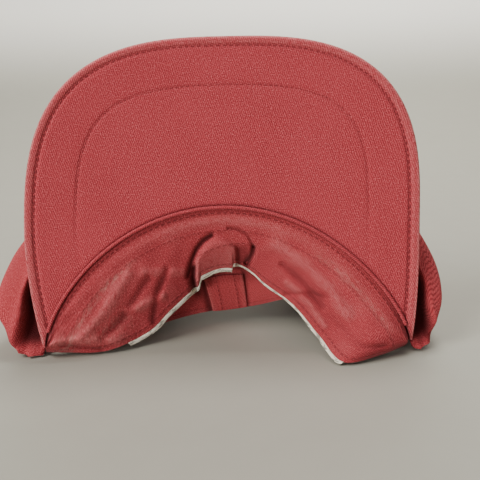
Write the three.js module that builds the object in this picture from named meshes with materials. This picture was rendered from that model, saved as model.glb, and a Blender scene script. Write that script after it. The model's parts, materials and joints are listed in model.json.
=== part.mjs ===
// A soft six-panel work cap in cotton twill, standing on its rim with the peak turned up.
//
// Millimetres, +Z up. The cap faces -Y: the under side of the turned-up peak looks that way, and the
// crown bulges behind it, towards +Y. Z = 0 is the surface that the cap stands on, and the peak swings
// about the line through the two temples, which runs along X at Y = 0.
import * as THREE from "three";
import { mergeVertices } from "three/addons/utils/BufferGeometryUtils.js";

// ---- driving dimensions -------------------------------------------------------------------------
const HINGE_Z = 7; // height of the temple line
const PEAK_LEAN = THREE.MathUtils.degToRad(14); // how far the turned-up peak leans back
const SEAM_HALF = 87; // half the peak seam's chord, temple to temple
const SEAM_RISE = 65.5; // rise of the peak seam above that chord
const SEAM_POWER = 0.67; // 0.5 would be half an ellipse, 1 a parabola
const PEAK_HALF = 94; // half the peak's greatest width
const PEAK_HEIGHT = 148; // temple line to the peak's front edge
const PEAK_SHOULDER = 60; // height above which the peak's outline rounds over
const PEAK_ROUND = 2.8; // exponent of the rounded outline
const PEAK_TIP = 88.3; // half width across the peak's two tips
const PEAK_SKEW = 0.045; // how far it bends to the right, for each millimetre above or below PEAK_SKEW_AT
const PEAK_SKEW_AT = 50;
const PEAK_SKEW_SOFT = 15; // how gently that bend turns
const PEAK_ARCH = 9; // how far the peak's middle bows back from its sides
const COVER = 0.6; // a layer of cotton twill
const BOARD = 1.6; // the plastic board inside the peak
const GAP = 0.35; // air between pieces that lie on each other
const REAR_DEPTH = 118; // temple line to the rim's rearmost point
const REAR_BOW = 9; // how far the rim bows out behind the temples
const APEX = new THREE.Vector3(0, 62, 112); // where the six panels meet
const PANEL = 0.9; // crown fabric with its seam allowance
const TAPE_HALF = 6; // half the width of a seam tape
const BAND = 34; // width of the sweatband
const BAND_THICK = 1.2;
const STRAP_HEIGHT = 22;
const BUTTON_R = 7.5;
const EYELET_R = 4.2;

const HALF_PI = Math.PI / 2;
const deg = THREE.MathUtils.degToRad;
const lerp = THREE.MathUtils.lerp;
const vec = (x, y, z) => new THREE.Vector3(x, y, z);

const twill = (name) => new THREE.MeshStandardMaterial({ name, color: 0x9c3a3e, roughness: 0.95, metalness: 0 });
const INTERLINING = new THREE.MeshStandardMaterial({ name: "interlining", color: 0xe2dccb, roughness: 0.9 });
const PLASTIC = new THREE.MeshStandardMaterial({ name: "peak_plastic", color: 0xd8d6cf, roughness: 0.5 });
const STEEL = new THREE.MeshStandardMaterial({ name: "button_steel", color: 0x9a9a9a, roughness: 0.35, metalness: 1 });
const HOOK_LOOP = new THREE.MeshStandardMaterial({ name: "hook_and_loop", color: 0x6e2a2e, roughness: 1 });

const cap = new THREE.Group();

function add(name, geometry, material) {
  const mesh = new THREE.Mesh(geometry, material);
  mesh.name = name;
  cap.add(mesh);
}

// ---- closed sheets ------------------------------------------------------------------------------
// A sheet of cloth or board: point(i / columns, j / rows, 0 or 1) gives its front and its back face.
function closedSheet(columns, rows, point) {
  const across = columns + 1;
  const layer = across * (rows + 1);
  const positions = [];
  for (const side of [0, 1]) {
    for (let j = 0; j <= rows; j++) {
      for (let i = 0; i <= columns; i++) {
        positions.push(...point(i / columns, j / rows, side).toArray());
      }
    }
  }
  const index = [];
  const quad = (a, b, c, d) => index.push(a, b, c, a, c, d);
  const at = (i, j, side) => side * layer + j * across + i;
  for (let j = 0; j < rows; j++) {
    for (let i = 0; i < columns; i++) {
      quad(at(i, j, 0), at(i + 1, j, 0), at(i + 1, j + 1, 0), at(i, j + 1, 0));
      quad(at(i, j, 1), at(i, j + 1, 1), at(i + 1, j + 1, 1), at(i + 1, j, 1));
    }
  }
  for (let i = 0; i < columns; i++) {
    quad(at(i, 0, 0), at(i, 0, 1), at(i + 1, 0, 1), at(i + 1, 0, 0));
    quad(at(i, rows, 0), at(i + 1, rows, 0), at(i + 1, rows, 1), at(i, rows, 1));
  }
  for (let j = 0; j < rows; j++) {
    quad(at(0, j, 0), at(0, j + 1, 0), at(0, j + 1, 1), at(0, j, 1));
    quad(at(columns, j, 0), at(columns, j, 1), at(columns, j + 1, 1), at(columns, j + 1, 0));
  }
  return facingOut(positions, index);
}

// A geometry from points and triangles, turned so that its volume is positive.
function facingOut(positions, index) {
  const p = (k) => vec(...positions.slice(3 * k, 3 * k + 3));
  let volume = 0;
  for (let k = 0; k < index.length; k += 3) {
    volume += p(index[k]).dot(p(index[k + 1]).cross(p(index[k + 2])));
  }
  if (volume < 0) index.reverse();
  const geometry = new THREE.BufferGeometry();
  geometry.setAttribute("position", new THREE.Float32BufferAttribute(positions, 3));
  geometry.setIndex(index);
  return mergeVertices(geometry);
}

// A round cord laid along points, such as a rolled seam or a binding.
function cordAlong(points, radius, steps) {
  const section = new THREE.Shape();
  section.absarc(0, 0, radius, 0, 2 * Math.PI);
  return new THREE.ExtrudeGeometry(section, {
    steps,
    curveSegments: 4,
    extrudePath: new THREE.CatmullRomCurve3(points),
  });
}

// ---- the peak -----------------------------------------------------------------------------------
const PEAK_UP = vec(0, Math.sin(PEAK_LEAN), Math.cos(PEAK_LEAN)); // from the temple line to the front edge
const PEAK_BACK = vec(0, Math.cos(PEAK_LEAN), -Math.sin(PEAK_LEAN)); // from the under side to the top side

// A point of the peak: u across, v up from the temple line, depth behind its middle layer.
function peakPoint(u, v, depth) {
  const bow = PEAK_ARCH * (1 - (u / PEAK_HALF) ** 2);
  const skew = PEAK_SKEW * (Math.hypot(v - PEAK_SKEW_AT, PEAK_SKEW_SOFT) - PEAK_SKEW_SOFT);
  return vec(u + skew, 0, HINGE_Z)
    .addScaledVector(PEAK_UP, v)
    .addScaledVector(PEAK_BACK, bow + depth);
}

// The peak seam's height above the temple line at u: half of an ellipse.
function seamHeight(u) {
  return SEAM_RISE * Math.max(0, 1 - (u / SEAM_HALF) ** 2) ** SEAM_POWER;
}

// The peak's outer edge, from its left tip (t = 0) round to its right tip (t = 1): straight sides, then a
// superellipse over the shoulders.
function peakEdge(t) {
  const sideShare = 0.18;
  const mirrored = Math.min(t, 1 - t);
  const sign = t < 0.5 ? -1 : 1;
  if (mirrored < sideShare) {
    const v = PEAK_SHOULDER * (mirrored / sideShare);
    const left = (PEAK_SHOULDER - v) / PEAK_SHOULDER;
    return [sign * (PEAK_HALF - (PEAK_HALF - PEAK_TIP) * left * left), v];
  }
  const angle = ((mirrored - sideShare) / (0.5 - sideShare)) * HALF_PI;
  const u = PEAK_HALF * Math.cos(angle) ** (2 / PEAK_ROUND);
  const v = PEAK_SHOULDER + (PEAK_HEIGHT - PEAK_SHOULDER) * Math.sin(angle) ** (2 / PEAK_ROUND);
  return [sign * u, v];
}

// A layer of the peak between two depths, with its edge drawn in by an inset.
function peakLayer(front, back, inset) {
  return closedSheet(40, 6, (t, q, side) => {
    const u = -SEAM_HALF * Math.cos(Math.PI * t);
    const seam = [u, seamHeight(u)];
    const edge = peakEdge(t);
    const length = Math.hypot(edge[0] - seam[0], edge[1] - seam[1]);
    const start = Math.min(0.5 * inset, 0.2 * length);
    const share = lerp(start, Math.max(length - inset, 0.6 * length), q) / length;
    return peakPoint(lerp(seam[0], edge[0], share), lerp(seam[1], edge[1], share), side ? back : front);
  });
}

const boardHalf = BOARD / 2;
add("peak_board", peakLayer(-boardHalf, boardHalf, 3), PLASTIC);
add("peak_under_cover", peakLayer(-boardHalf - GAP - COVER, -boardHalf - GAP, 0.6), twill("peak_twill"));
add("peak_top_cover", peakLayer(boardHalf + GAP, boardHalf + GAP + COVER, 0.6), twill("peak_twill"));

const ROLL_R = 0.9;
const ROLL_DEPTH = -boardHalf - GAP - COVER - GAP - ROLL_R;
function seamRoll() {
  const points = [];
  for (let k = 0; k <= 24; k++) {
    const u = -0.985 * SEAM_HALF * Math.cos((Math.PI * k) / 24);
    points.push(peakPoint(u, seamHeight(u) - 0.4, ROLL_DEPTH));
  }
  return cordAlong(points, ROLL_R, 48);
}
add("peak_seam_roll", seamRoll(), twill("peak_twill"));

// ---- the front sweatband, turned out below the peak seam --------------------------------------------
// The band's lower edge at angles round the seam, from the left temple (0) to the right (180), measured
// from the middle of the temple line: across, back and up. It rests on the table on both sides and arches
// up in the middle.
const BAND_EDGE = [
  [4, [-85, 6.5, -5.2]],
  [15, [-75, 5, -5.2]],
  [28, [-57, 6.5, -5.2]],
  [45, [-38, 16, 0]],
  [60, [-27, 22, 9]],
  [75, [-15, 28, 18]],
  [90, [-1, 32, 25]],
  [105, [12, 31, 25]],
  [120, [24, 26, 18]],
  [135, [35, 19, 11]],
  [150, [46, 7, 0]],
  [163, [55, -12, -5.2]],
  [171, [74, -5, -5.2]],
  [176, [89, 6, -5.2]],
];
const edgeCurve = new THREE.CatmullRomCurve3(BAND_EDGE.map(([, point]) => vec(...point)));

// The lower edge at an angle: each pair of neighbours in the table shares out the angles between them.
function bandEdge(angle) {
  let k = 1;
  while (k < BAND_EDGE.length - 1 && angle > BAND_EDGE[k][0]) k++;
  const share = (angle - BAND_EDGE[k - 1][0]) / (BAND_EDGE[k][0] - BAND_EDGE[k - 1][0]);
  return edgeCurve.getPoint((k - 1 + share) / (BAND_EDGE.length - 1)).add(vec(0, 0, HINGE_Z));
}

// A point of the turned-out band: q from the seam (0) to its lower edge (1), then depth behind its face.
const BAND_FRONT = ROLL_DEPTH + ROLL_R + GAP;
const BAND_BELLY = 3; // how far it bellies out between the two
function turnedOut(angle, q, depth) {
  const u = -SEAM_HALF * Math.cos(deg(angle));
  const seam = peakPoint(0.99 * u, 0.99 * seamHeight(u) - 0.4, BAND_FRONT);
  const belly = -BAND_BELLY * Math.sin(Math.PI * Math.min(q, 1));
  return seam.lerp(bandEdge(angle), q).addScaledVector(PEAK_BACK, belly + depth);
}

// A strip of the sweatband between two shares of its width.
function frontBand(start, end, thickness, rows) {
  return closedSheet(36, rows, (t, q, side) => {
    return turnedOut(lerp(6, 175, t), lerp(start, end, q), side ? thickness : 0);
  });
}
add("sweatband_front", frontBand(0, 1, BAND_THICK, 4), twill("band_twill"));

// The interlining shows as a raw edge below the twill, where the band is clear of the table.
function interliningEdge() {
  return closedSheet(24, 1, (t, q, side) => {
    return turnedOut(lerp(30, 160, t), lerp(1.012, 1.05, q), 0.2 + (side ? 1.6 : 0));
  });
}
add("sweatband_edge", interliningEdge(), INTERLINING);

// The lower edge of the front panels, folded in behind the band, with the centre seam's tape on it.
const FACING_HEM = [
  [-46, 19, -4],
  [-35, 31, -2.5],
  [-15, 43, -1],
  [3, 46, 0],
  [20, 42, 4],
  [36, 34, 11],
];
const hemCurve = new THREE.CatmullRomCurve3(FACING_HEM.map((point) => vec(...point)));
function facingPoint(t, q, depth) {
  const top = turnedOut(lerp(40, 135, t), 0.55, BAND_THICK + 3 * GAP + BAND_BELLY);
  return top.lerp(hemCurve.getPoint(t).add(vec(0, 0, HINGE_Z)), q).addScaledVector(PEAK_BACK, depth);
}
function facing() {
  return closedSheet(20, 4, (t, q, side) => facingPoint(t, q, side ? PANEL : 0));
}
add("front_facing", facing(), twill("crown_twill"));

function facingTape() {
  return closedSheet(3, 4, (t, q, side) => {
    return facingPoint(lerp(0.5, 0.66, t), lerp(0.55, 0.97, q), -GAP - (side ? 0.6 : 0));
  });
}
add("facing_tape", facingTape(), twill("tape_twill"));

// ---- the crown ----------------------------------------------------------------------------------
// Azimuth 0 is the middle of the front, 90 the right temple, 180 the middle of the back.
const FRONT_SIDE_SEAM = 58;
const SIDE_BACK_SEAM = 122;

// Depth behind the peak's middle layer at which the crown's outer face lies against its cover.
const BEHIND_PEAK = boardHalf + 3 * GAP + COVER;

// A crown point that would come through the turned-up peak is laid flat against it instead.
function pushedBack(p) {
  const fromTemples = p.clone().sub(vec(0, 0, HINGE_Z));
  const bow = PEAK_ARCH * (1 - Math.min(1, (p.x / PEAK_HALF) ** 2));
  const depth = fromTemples.dot(PEAK_BACK) - bow;
  return depth < BEHIND_PEAK ? p.addScaledVector(PEAK_BACK, BEHIND_PEAK - depth) : p;
}

// The rim that the crown is sewn to: the peak seam in front, the standing rim behind.
function rimPoint(azimuth) {
  const a = deg(azimuth);
  if (Math.abs(azimuth) <= 90) {
    const u = SEAM_HALF * Math.sin(a);
    return peakPoint(u, seamHeight(u), BEHIND_PEAK);
  }
  const back = -Math.cos(a);
  const side = Math.sin(a);
  const start = rimPoint(90);
  const skew = (start.x - SEAM_HALF) * (1 - back);
  const x = skew + SEAM_HALF * side + 2 * REAR_BOW * side * back;
  return vec(x, lerp(start.y, REAR_DEPTH, back), lerp(start.z, 0, Math.min(1, 5 * back)));
}

// How each meridian leaves the rim and comes over to the apex, at named azimuths: outwards and up from
// the rim, then outwards and down from the apex. The left side slumps out further than the right.
const MERIDIANS = [
  { at: -180, out: 10, up: 52, over: 50, drop: 0 },
  { at: -125, out: 40, up: 30, over: 50, drop: 6 },
  { at: -90, out: 70, up: 13, over: 61, drop: 15 },
  { at: -55, out: 22, up: 28, over: 46, drop: 0 },
  { at: 0, out: 0, up: 16, over: 18, drop: 1 },
  { at: 55, out: 18, up: 28, over: 44, drop: 0 },
  { at: 90, out: 46, up: 15, over: 84, drop: 15 },
  { at: 125, out: 32, up: 32, over: 48, drop: 6 },
  { at: 180, out: 10, up: 52, over: 50, drop: 0 },
];

function meridian(azimuth) {
  let k = 1;
  while (k < MERIDIANS.length - 1 && azimuth > MERIDIANS[k].at) k++;
  const from = MERIDIANS[k - 1];
  const to = MERIDIANS[k];
  const mix = THREE.MathUtils.smoothstep(azimuth, from.at, to.at);
  const value = (key) => lerp(from[key], to[key], mix);
  return { out: value("out"), up: value("up"), over: value("over"), drop: value("drop") };
}

const FRONT_AWAY = 10; // how the front panels lean away from the peak as they leave its seam

// A point of the crown: azimuth, and s from the rim (0) to the apex (1).
function crownPoint(azimuth, s) {
  const wrapped = azimuth > 180 ? azimuth - 360 : azimuth < -180 ? azimuth + 360 : azimuth;
  const a = deg(wrapped);
  const outward = vec(Math.sin(a), -Math.cos(a), 0);
  const { out, up, over, drop } = meridian(wrapped);
  const rim = rimPoint(wrapped);
  const front = Math.max(0, Math.cos(a));
  const back = out * Math.max(0, -Math.cos(a)) + front * (up * Math.tan(PEAK_LEAN) + FRONT_AWAY);
  const curve = new THREE.CubicBezierCurve3(
    rim,
    rim.clone().add(vec(out * Math.sin(a), back, up)),
    APEX.clone().addScaledVector(outward, over).add(vec(0, 0, -drop)),
    APEX,
  );
  return pushedBack(curve.getPoint(s));
}

function crownNormal(azimuth, s) {
  const e = 0.01;
  const low = Math.max(s - e, 0);
  const high = Math.min(s + e, 0.99);
  const along = crownPoint(azimuth + 0.5, s).sub(crownPoint(azimuth - 0.5, s));
  const up = crownPoint(azimuth, high).sub(crownPoint(azimuth, low));
  return along.cross(up).normalize();
}

// A patch on the crown, between two depths inside its outer face. Its thickness lies level at the rim,
// so that the cap stands on a flat edge.
function crownPatch(columns, rows, outer, inner, where) {
  return closedSheet(columns, rows, (i, j, side) => {
    const [azimuth, s] = where(i, j);
    const normal = crownNormal(azimuth, s);
    if (Math.abs(azimuth) > 90) normal.z *= Math.min(1, 12 * s);
    return crownPoint(azimuth, s).addScaledVector(normal.normalize(), side ? -inner : -outer);
  });
}

// The opening over the strap at the back: half of an ellipse in azimuth and s.
const ARCH_HALF = 25;
const ARCH_TOP = 0.42;
function archPoint(angle, inset) {
  return [(ARCH_HALF - inset) * Math.cos(angle), (ARCH_TOP - inset / 60) * Math.sin(angle)];
}

const SEAM_GAP = 0.12; // degrees left open at each panel seam
const crownTop = (azimuth) => 1 - 1.6 / meridian(azimuth).over; // the panels stop under the button
function panel(from, to) {
  return crownPatch(12, 12, 0, PANEL, (i, j) => {
    const azimuth = lerp(from + SEAM_GAP, to - SEAM_GAP, i);
    return [azimuth, lerp(0, crownTop(azimuth), j)];
  });
}

// A back panel: plain columns from the side seam to the arch, then columns that follow the arch.
function backPanel(sign) {
  const plain = 5 / 12;
  return crownPatch(12, 12, 0, PANEL, (i, j) => {
    if (i <= plain) {
      const azimuth = sign * lerp(SIDE_BACK_SEAM + SEAM_GAP, 180 - ARCH_HALF, i / plain);
      return [azimuth, lerp(0, crownTop(azimuth), j)];
    }
    const [away, foot] = archPoint((HALF_PI * (i - plain)) / (1 - plain), 0);
    const azimuth = sign * Math.min(180 - away, 180 - SEAM_GAP);
    return [azimuth, lerp(foot, crownTop(azimuth), j)];
  });
}
add("front_left_panel", panel(-FRONT_SIDE_SEAM, 0), twill("crown_twill"));
add("front_right_panel", panel(0, FRONT_SIDE_SEAM), twill("crown_twill"));
add("side_left_panel", panel(-SIDE_BACK_SEAM, -FRONT_SIDE_SEAM), twill("crown_twill"));
add("side_right_panel", panel(FRONT_SIDE_SEAM, SIDE_BACK_SEAM), twill("crown_twill"));
add("back_left_panel", backPanel(-1), twill("crown_twill"));
add("back_right_panel", backPanel(1), twill("crown_twill"));

// Seam tapes inside the crown, each as wide all the way up.
function seamTape(azimuth, from) {
  return crownPatch(4, 14, PANEL + 3 * GAP, PANEL + 3 * GAP + 0.6, (i, j) => {
    const s = lerp(from, 0.84, j);
    const width = crownPoint(azimuth + 2, s).distanceTo(crownPoint(azimuth - 2, s)) / 4;
    return [azimuth + (2 * i - 1) * Math.min(TAPE_HALF / width, 20), s];
  });
}
const TAPES = {
  front_tape: [0, 0.04],
  front_left_tape: [-FRONT_SIDE_SEAM, 0.04],
  front_right_tape: [FRONT_SIDE_SEAM, 0.04],
  back_left_tape: [-SIDE_BACK_SEAM, 0.36],
  back_right_tape: [SIDE_BACK_SEAM, 0.36],
  back_tape: [180, ARCH_TOP + 0.05],
};
for (const [name, [azimuth, from]] of Object.entries(TAPES)) {
  add(name, seamTape(azimuth, from), twill("tape_twill"));
}

// Stitched eyelets in the side and back panels, as flat rings standing on the fabric.
function eyelet(azimuth, s) {
  const profile = [
    [EYELET_R - 2.2, 0.3],
    [EYELET_R, 0.3],
    [EYELET_R - 0.3, 1.1],
    [EYELET_R - 1.9, 1.1],
    [EYELET_R - 2.2, 0.3],
  ];
  const ring = new THREE.LatheGeometry(profile.map(([r, y]) => new THREE.Vector2(r, y)), 16);
  const turn = new THREE.Quaternion().setFromUnitVectors(vec(0, 1, 0), crownNormal(azimuth, s));
  return { ring, turn, place: crownPoint(azimuth, s).addScaledVector(crownNormal(azimuth, s), 0.15) };
}
const EYELETS = {
  eyelet_side_left: [-90, 0.7],
  eyelet_side_right: [90, 0.7],
  eyelet_back_left: [-151, 0.7],
  eyelet_back_right: [151, 0.7],
};
for (const [name, [azimuth, s]] of Object.entries(EYELETS)) {
  const { ring, turn, place } = eyelet(azimuth, s);
  add(name, ring, twill("thread"));
  cap.children.at(-1).quaternion.copy(turn);
  cap.children.at(-1).position.copy(place);
}

// The covered button over the apex, and the steel back that clamps the panels to it from inside.
function lathed(profile, segments) {
  return new THREE.LatheGeometry(profile.map(([r, y]) => new THREE.Vector2(r, y)), segments).rotateX(HALF_PI);
}
const buttonProfile = [[0, 1.2], [BUTTON_R, 1.2], [BUTTON_R - 0.4, 3.2], [4.5, 5], [0, 5.6]];
add("top_button", lathed(buttonProfile, 20), twill("crown_twill"));
cap.children.at(-1).position.copy(APEX);
const backProfile = [[0, -4.2], [5.5, -4.2], [5.5, -3.4], [1.4, -3.2], [1.2, 0.8], [0, 0.8]];
add("button_back", lathed(backProfile, 16), STEEL);
cap.children.at(-1).position.copy(APEX);

// The rest of the sweatband, standing inside the rim from each temple to the strap.
const bandTop = (azimuth) => BAND / (crownPoint(azimuth, 1 / 3).z * 3);
function rearBand(from, to) {
  const outer = PANEL + 2 * GAP + 1.2;
  return crownPatch(16, 3, outer, outer + BAND_THICK, (i, j) => {
    const azimuth = lerp(from, to, i);
    return [azimuth, lerp(0.012, bandTop(azimuth), j)];
  });
}
add("sweatband_left", rearBand(-153, -100), twill("band_twill"));
add("sweatband_right", rearBand(100, 153), twill("band_twill"));

// The binding sewn round the edge of the back opening.
const BINDING_R = 1.1;
function archBinding() {
  const points = [];
  for (let k = 0; k <= 16; k++) {
    const [away, foot] = archPoint(Math.PI * lerp(0.19, 0.81, k / 16), 1.2);
    const inside = crownNormal(180 + away, foot).multiplyScalar(-PANEL / 2);
    points.push(crownPoint(180 + away, foot).add(inside));
  }
  return cordAlong(points, BINDING_R, 24);
}
add("arch_binding", archBinding(), twill("band_twill"));

// The closure: a loop strap sewn to the left corner, and a hook tab from the right corner lying on it.
const strapTop = (azimuth) => STRAP_HEIGHT / (crownPoint(azimuth, 1 / 3).z * 3);
function strapPatch(from, to, outer, inner, low, high) {
  return crownPatch(14, 2, outer, inner, (i, j) => {
    const azimuth = lerp(from, to, i);
    return [azimuth, lerp(0.02 + low, strapTop(azimuth) - high, j)];
  });
}
const STRAP = 1.1;
const PAD = 0.5;
const TAB_DEPTH = -(GAP + STRAP);
const TAB = -(GAP + STRAP); // the tab lies on the outside of the fabric
const HOOKS = TAB + STRAP + GAP;
const LOOPS = HOOKS + PAD + GAP;
const UNDER = LOOPS + PAD + GAP;
add("strap_tab", strapPatch(152, 200, TAB, TAB + STRAP, 0, 0), twill("band_twill"));
add("hook_pad", strapPatch(181, 199, HOOKS, HOOKS + PAD, 0.02, 0.02), HOOK_LOOP);
add("loop_pad", strapPatch(181, 202, LOOPS, LOOPS + PAD, 0.02, 0.02), HOOK_LOOP);
add("strap_left", strapPatch(178, 203.5, UNDER, UNDER + STRAP, 0, 0), twill("band_twill"));

// The origin is the middle of the bounding box's base.
const bounds = new THREE.Box3().setFromObject(cap, true);
const middle = bounds.getCenter(vec(0, 0, 0));
cap.position.set(-middle.x, -middle.y, -bounds.min.z);

export default cap;
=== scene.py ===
# %% [markdown]
# # A soft twill work cap with its peak turned up
#
# The cap stands on its rim. Its peak is turned up, so that we look at the under side of the peak, at the
# sweatband that has turned out below the peak seam, and at the crown that bulges past the peak.
#
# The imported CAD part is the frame: it says how big the cap is and where its joints are. Every cloth
# piece here replaces its CAD stand-in with a finer shell that has folds, seams, stitching and a weave.

# %% Load the frame
import json
import math

import bpy
import numpy as np
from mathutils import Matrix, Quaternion, Vector


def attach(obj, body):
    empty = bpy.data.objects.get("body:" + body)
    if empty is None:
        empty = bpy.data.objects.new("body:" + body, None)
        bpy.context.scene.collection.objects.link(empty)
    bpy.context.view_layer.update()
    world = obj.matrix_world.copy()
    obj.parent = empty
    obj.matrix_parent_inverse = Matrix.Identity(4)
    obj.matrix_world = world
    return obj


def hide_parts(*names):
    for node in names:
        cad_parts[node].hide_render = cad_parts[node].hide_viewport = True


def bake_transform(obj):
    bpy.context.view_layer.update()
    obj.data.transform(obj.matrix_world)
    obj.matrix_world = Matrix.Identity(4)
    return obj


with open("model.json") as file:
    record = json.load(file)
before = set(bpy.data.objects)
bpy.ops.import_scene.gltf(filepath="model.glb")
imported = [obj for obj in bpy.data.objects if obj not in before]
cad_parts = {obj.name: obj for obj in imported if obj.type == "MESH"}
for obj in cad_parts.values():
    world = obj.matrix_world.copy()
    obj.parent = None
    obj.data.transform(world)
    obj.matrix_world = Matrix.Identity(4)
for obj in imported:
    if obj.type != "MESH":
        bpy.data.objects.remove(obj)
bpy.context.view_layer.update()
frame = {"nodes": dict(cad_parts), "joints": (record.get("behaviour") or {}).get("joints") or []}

MM = 0.001
swing = next(j for j in frame["joints"] if j["name"] == "peak_swing")
TEMPLES = np.array(swing["pos_m"])  # middle of the line through the temples, which the peak turns about
random = np.random.default_rng(7)

# %% [markdown]
# ## The pattern pieces
#
# The shapes are worked out in millimetres from the middle of the temple line: x across, y back, z up.
# The peak is a sheet bowed about its own length. Its seam to the crown is an arch, and its outer edge is
# straight at the sides and rounded over the shoulders. It could be sculpted by hand, but a formula gives
# the same surface to the cover, the seam roll and the band, so that they meet without gaps.

# %% The peak's surface
LEAN = math.radians(14)  # how far the peak leans back
UP = np.array([0, math.sin(LEAN), math.cos(LEAN)])
BACK = np.array([0, math.cos(LEAN), -math.sin(LEAN)])
SEAM_HALF, SEAM_RISE, SEAM_POWER = 87, 65.5, 0.67
PEAK_HALF, PEAK_TIP, PEAK_HEIGHT = 94, 88.3, 148
PEAK_SHOULDER, PEAK_ROUND = 60, 2.8  # height at which the edge rounds over, and how squarely
PEAK_SIDE = 0.18  # share of the edge that each straight side takes
PEAK_ARCH = 9  # how far the middle bows back from the sides
PEAK_SKEW, SKEW_AT, SKEW_SOFT = 0.045, 50, 15  # it bends to the right, at its tips and at its front
FLOOR = -TEMPLES[2] / MM  # height of the table below the temple line
HALF_PEAK = 1.85  # half the thickness of the covered peak
BEHIND_PEAK = 2.45  # where the crown lies against the peak's cover


def smooth(x, low, high):
    t = np.clip((np.asarray(x, float) - low) / (high - low), 0, 1)
    return t * t * (3 - 2 * t)


def bump(x, middle, width):
    return np.exp(-(((np.asarray(x, float) - middle) / width) ** 2))


def peak_point(u, v, depth):
    u, v, depth = np.broadcast_arrays(*(np.asarray(a, float) for a in (u, v, depth)))
    behind = (PEAK_ARCH * (1 - (u / PEAK_HALF) ** 2) + depth)[..., None]
    skew = PEAK_SKEW * (np.hypot(v - SKEW_AT, SKEW_SOFT) - SKEW_SOFT)
    across = (u + skew)[..., None] * np.array([1.0, 0, 0])
    return across + v[..., None] * UP + behind * BACK


def seam_height(u):
    return SEAM_RISE * np.maximum(0, 1 - (np.asarray(u, float) / SEAM_HALF) ** 2) ** SEAM_POWER


def peak_edge(t):
    """The outer edge from the left tip (t = 0) round to the right tip (t = 1), as (u, v)."""
    t = np.asarray(t, float)
    near = np.minimum(t, 1 - t)
    side = near < PEAK_SIDE
    left = 1 - near / PEAK_SIDE
    angle = np.clip((near - PEAK_SIDE) / (0.5 - PEAK_SIDE), 0, 1) * math.pi / 2
    power = 2 / PEAK_ROUND
    straight = PEAK_HALF - (PEAK_HALF - PEAK_TIP) * left**2
    u = np.where(side, straight, PEAK_HALF * np.cos(angle) ** power)
    over = PEAK_SHOULDER + (PEAK_HEIGHT - PEAK_SHOULDER) * np.sin(angle) ** power
    return np.where(t < 0.5, -u, u), np.where(side, PEAK_SHOULDER * (1 - left), over)


EDGE_LINE = np.stack(peak_edge(np.linspace(0, 1, 1601)), -1)
EDGE_RUN = np.concatenate([[0], np.cumsum(np.linalg.norm(np.diff(EDGE_LINE, axis=0), axis=1))])


def from_edge(u, v):
    """Distance of (u, v) from the peak's outer edge, and how far along the edge it is."""
    flat = np.stack([u.ravel(), v.ravel()], -1)
    near = np.array([np.argmin(((EDGE_LINE - p) ** 2).sum(1)) for p in flat])
    distance = np.linalg.norm(EDGE_LINE[near] - flat, axis=1)
    return distance.reshape(u.shape), EDGE_RUN[near].reshape(u.shape)


print("the peak's edge is", round(EDGE_RUN[-1]), "mm long")

# %% [markdown]
# The crown is drawn as meridians from the rim to the button. Azimuth 0 is the middle of the front and
# 180 the middle of the back. Each meridian is one cubic curve, so the crown can slump out at the sides
# and still close at the top. Where it would come through the turned-up peak, it is laid against it.

# %% The crown's surface
APEX = np.array([0, 62, 112 + FLOOR])
REAR_DEPTH, REAR_BOW = 118, 9  # temple line to the rearmost point, and the bow behind the temples
FRONT_AWAY = 10  # how far the front panels lean away from the peak as they leave its seam
MERIDIANS = np.array(  # azimuth, then outwards and up from the rim, then outwards and down from the apex
    [
        [-180, 10, 52, 50, 0],
        [-125, 40, 30, 50, 6],
        [-90, 70, 13, 61, 15],
        [-55, 22, 28, 46, 0],
        [0, 0, 16, 18, 1],
        [55, 18, 28, 44, 0],
        [90, 46, 15, 84, 15],
        [125, 32, 32, 48, 6],
        [180, 10, 52, 50, 0],
    ],
    float,
)


def rim_point(azimuth):
    a = np.radians(azimuth)
    u = SEAM_HALF * np.sin(a)
    front = peak_point(u, np.where(np.abs(azimuth) <= 90, seam_height(u), 0), BEHIND_PEAK)
    start = peak_point(SEAM_HALF, 0, BEHIND_PEAK)
    back, side = np.maximum(0, -np.cos(a)), np.sin(a)
    x = (start[0] - SEAM_HALF) * (1 - back) + SEAM_HALF * side + 2 * REAR_BOW * side * back
    y = start[1] + (REAR_DEPTH - start[1]) * back
    z = start[2] + (FLOOR - start[2]) * np.minimum(1, 5 * back)
    return np.where((np.abs(azimuth) <= 90)[..., None], front, np.stack([x, y, z], -1))


def meridian(azimuth):
    k = np.clip(np.searchsorted(MERIDIANS[:, 0], azimuth) - 1, 0, len(MERIDIANS) - 2)
    low, high = MERIDIANS[k], MERIDIANS[k + 1]
    mix = np.clip((azimuth - low[..., 0]) / (high[..., 0] - low[..., 0]), 0, 1)
    mix = (mix * mix * (3 - 2 * mix))[..., None]
    return np.moveaxis(low[..., 1:] * (1 - mix) + high[..., 1:] * mix, -1, 0)


def crown_point(azimuth, s):
    azimuth, s = np.broadcast_arrays(np.asarray(azimuth, float), np.asarray(s, float))
    azimuth = (azimuth + 180) % 360 - 180
    a = np.radians(azimuth)
    out, up, over, drop = meridian(azimuth)
    rim = rim_point(azimuth)
    front = np.maximum(0, np.cos(a))
    back = out * np.maximum(0, -np.cos(a)) + front * (up * math.tan(LEAN) + FRONT_AWAY)
    leave = rim + np.stack([out * np.sin(a), back, up], -1)
    arrive = APEX + np.stack([over * np.sin(a), -over * np.cos(a), -drop], -1)
    t = s[..., None]
    p = (1 - t) ** 3 * rim + 3 * t * (1 - t) ** 2 * leave + 3 * t * t * (1 - t) * arrive + t**3 * APEX
    bow = PEAK_ARCH * (1 - np.minimum(1, (p[..., 0] / PEAK_HALF) ** 2))
    short = np.maximum(0, BEHIND_PEAK - (p @ BACK - bow))
    return p + short[..., None] * BACK


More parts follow.
